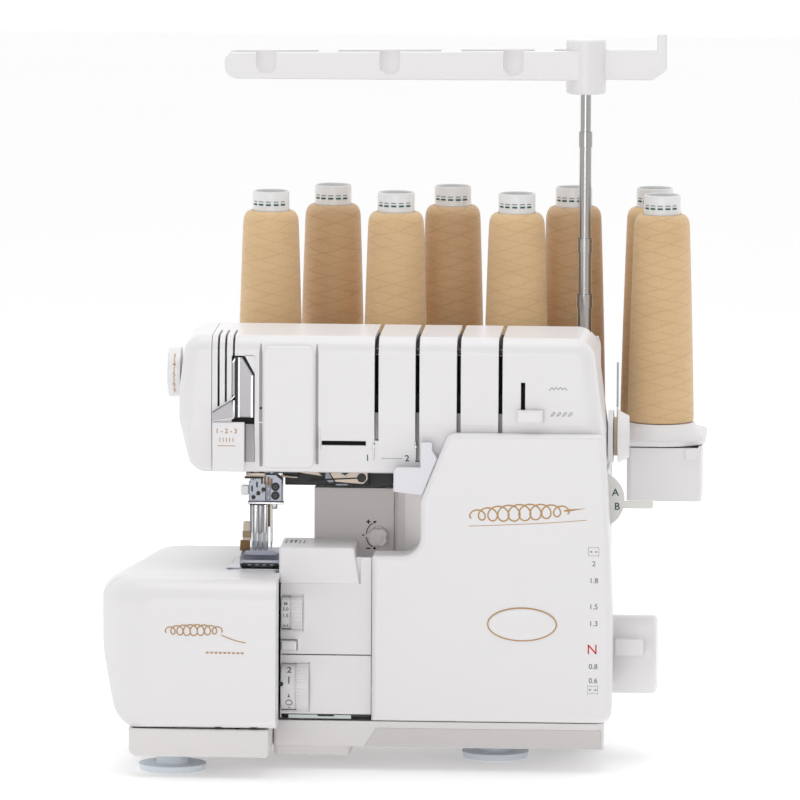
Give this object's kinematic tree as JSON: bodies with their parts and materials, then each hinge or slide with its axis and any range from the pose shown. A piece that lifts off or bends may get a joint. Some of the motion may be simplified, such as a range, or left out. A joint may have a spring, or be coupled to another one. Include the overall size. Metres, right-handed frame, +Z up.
{
  "type": "serger sewing machine",
  "caption": "Free-standing overlock sewing machine with a looper box, head, side controls and a rear stand of thread cones under a telescopic thread guide.",
  "frame": {"origin": "under the middle of the whole object's box, on the floor the feet rest on", "axes": "+X towards the handwheel side, +Y towards the back where the thread stand is, +Z up"},
  "size_m": [0.435, 0.32, 0.527],
  "materials": {
    "white_shell": "glossy white moulding",
    "base_plastic": "satin off-white moulding",
    "foot_rubber": "matte blue-grey rubber",
    "grey_panel": "satin warm grey moulding",
    "lavender_plastic": "smooth pale lavender moulding",
    "satin_steel": "satin steel",
    "chrome": "polished",
    "cast_chassis": "dark painted casting",
    "motor_steel": "dark enamel",
    "belt_rubber": "matte black rubber",
    "black_plastic": "matte black moulding",
    "thread_light": "wound tan thread",
    "thread_dark": "wound brown thread",
    "tube_plastic": "moulded white tube"
  },
  "bodies": {
    "machine": {"antenna_tube_four": "chrome", "base_frame": "base_plastic", "base_tray_left": "base_plastic", "chassis_brackets": "cast_chassis", "cloth_plate": "white_shell", "column_casing": "white_shell", "cone_tubes": "tube_plastic", "cover_hinge": "satin_steel", "drive_belt": "belt_rubber", "fabric_guard": "white_shell", "front_cover": "white_shell", "guide_flap": "white_shell", "head_casing": "white_shell", "head_chassis": "cast_chassis", "head_end_cap": "white_shell", "inner_panel": "grey_panel", "leveling_feet": "foot_rubber", "lower_panel": "white_shell", "motor": "motor_steel", "needle_cover": "white_shell", "pivot_pins": "satin_steel", "power_inlet": "black_plastic", "rear_arm_cover": "white_shell", "release_tab": "white_shell", "side_guide_flange": "white_shell", "stand_bin": "white_shell", "stand_bracket": "satin_steel", "stand_tray": "white_shell", "stitch_plate": "satin_steel", "stitch_plate_screws": "satin_steel", "take_up_plate": "chrome", "thread_bracket": "lavender_plastic", "thread_cones_front": "thread_light", "thread_cones_rear": "thread_dark", "upper_panel": "white_shell"},
    "looper_cover_body": {"looper_cover": "white_shell"},
    "width_wheel_body": {"width_wheel": "white_shell"},
    "selector_wheel_body": {"selector_wheel": "white_shell"},
    "star_knob_body": {"star_knob": "grey_panel"},
    "mode_lever_body": {"mode_lever": "white_shell"},
    "presser_dial_body": {"presser_dial": "white_shell"},
    "needle_bar_body": {"needle_clamp": "satin_steel", "needles": "chrome"},
    "presser_body": {"presser_bar": "satin_steel", "presser_foot": "satin_steel"},
    "presser_lever_body": {"presser_lever": "black_plastic"},
    "feed_dog_body": {"feed_dogs": "satin_steel"},
    "lower_looper_body": {"lower_looper": "chrome"},
    "upper_looper_body": {"upper_looper": "chrome"},
    "upper_knife_body": {"upper_knife": "satin_steel"},
    "hand_body": {"main_shaft": "satin_steel", "handwheel": "white_shell"},
    "motor_rotor_body": {"motor_pulley": "satin_steel"},
    "feed_lever_body": {"feed_lever": "white_shell"},
    "thread_lever_body": {"thread_lever": "lavender_plastic"},
    "side_guide_body": {"side_guide_wheel": "lavender_plastic"},
    "antenna_three_body": {"antenna_tube_three": "chrome"},
    "antenna_two_body": {"antenna_tube_two": "chrome"},
    "antenna_one_body": {"antenna_tube_one": "chrome", "antenna_head": "white_shell"}
  },
  "joints": [
    {"name": "looper_cover_open", "type": "hinge", "parent": "machine", "child": "looper_cover_body", "pos_m": [-0.115, -0.1512, 0.0456], "axis": [1, 0, 0], "range_deg": [0, 75]},
    {"name": "width_wheel_turn", "type": "hinge", "parent": "machine", "child": "width_wheel_body", "pos_m": [-0.08, -0.1005, 0.1156], "axis": [1, 0, 0], "range_deg": [-120, 120]},
    {"name": "selector_wheel_turn", "type": "hinge", "parent": "machine", "child": "selector_wheel_body", "pos_m": [-0.08, -0.1005, 0.0608], "axis": [1, 0, 0], "range_deg": [-90, 90]},
    {"name": "star_knob_turn", "type": "hinge", "parent": "machine", "child": "star_knob_body", "pos_m": [-0.0206, -0.025, 0.162], "axis": [0, 1, 0], "range_deg": [-50, 50]},
    {"name": "mode_lever_slide", "type": "slide", "parent": "machine", "child": "mode_lever_body", "axis": [0, 0, 1], "range_m": [0, 0.0185]},
    {"name": "presser_dial_turn", "type": "hinge", "parent": "machine", "child": "presser_dial_body", "pos_m": [-0.168, -0.06, 0.287], "axis": [1, 0, 0], "range_deg": [-150, 150]},
    {"name": "needle_slide", "type": "slide", "parent": "machine", "child": "needle_bar_body", "axis": [0, 0, 1], "range_m": [-0.022, 0]},
    {"name": "presser_lift", "type": "slide", "parent": "machine", "child": "presser_body", "axis": [0, 0, 1], "range_m": [0, 0.006]},
    {"name": "presser_lever_turn", "type": "hinge", "parent": "machine", "child": "presser_lever_body", "pos_m": [-0.097, 0.02, 0.208], "axis": [1, 0, 0], "range_deg": [0, 12]},
    {"name": "feed_dog_slide", "type": "slide", "parent": "machine", "child": "feed_dog_body", "axis": [0, 1, 0], "range_m": [-0.0004, 0.0004]},
    {"name": "lower_looper_swing", "type": "hinge", "parent": "machine", "child": "lower_looper_body", "pos_m": [-0.104, -0.082, 0.084], "axis": [0, 1, 0], "range_deg": [-6, 6]},
    {"name": "upper_looper_swing", "type": "hinge", "parent": "machine", "child": "upper_looper_body", "pos_m": [-0.072, -0.076, 0.092], "axis": [0, 1, 0], "range_deg": [-6, 6]},
    {"name": "upper_knife_slide", "type": "slide", "parent": "machine", "child": "upper_knife_body", "axis": [0, 0, 1], "range_m": [-0.008, 0]},
    {"name": "hand_spin", "type": "hinge", "parent": "machine", "child": "hand_body", "pos_m": [0.17, -0.03, 0.0772], "axis": [1, 0, 0], "continuous": true},
    {"name": "motor_spin", "type": "hinge", "parent": "machine", "child": "motor_rotor_body", "pos_m": [0.12, 0.02, 0.135], "axis": [1, 0, 0], "continuous": true},
    {"name": "feed_lever_turn", "type": "hinge", "parent": "machine", "child": "feed_lever_body", "pos_m": [0.1425, 0.03, 0.08], "axis": [-1, 0, 0], "range_deg": [-10, 46]},
    {"name": "thread_lever_turn", "type": "hinge", "parent": "machine", "child": "thread_lever_body", "pos_m": [0.1408, -0.06, 0.1956], "axis": [0, -1, 0], "range_deg": [0, 22]},
    {"name": "side_guide_spin", "type": "hinge", "parent": "machine", "child": "side_guide_body", "pos_m": [0.16, -0.03, 0.239], "axis": [1, 0, 0], "continuous": true},
    {"name": "antenna_lower_slide", "type": "slide", "parent": "machine", "child": "antenna_three_body", "axis": [0, 0, 1], "range_m": [-0.018, 0]},
    {"name": "antenna_middle_slide", "type": "slide", "parent": "antenna_three_body", "child": "antenna_two_body", "axis": [0, 0, 1], "range_m": [-0.03, 0]},
    {"name": "antenna_upper_slide", "type": "slide", "parent": "antenna_two_body", "child": "antenna_one_body", "axis": [0, 0, 1], "range_m": [-0.025, 0]}
  ],
  "couplings": [
    {"joint": "motor_spin", "follows": "hand_spin", "ratio": 3.0588},
    {"joint": "presser_lever_turn", "follows": "presser_lift", "rad_per_m": 34.557}
  ]
}
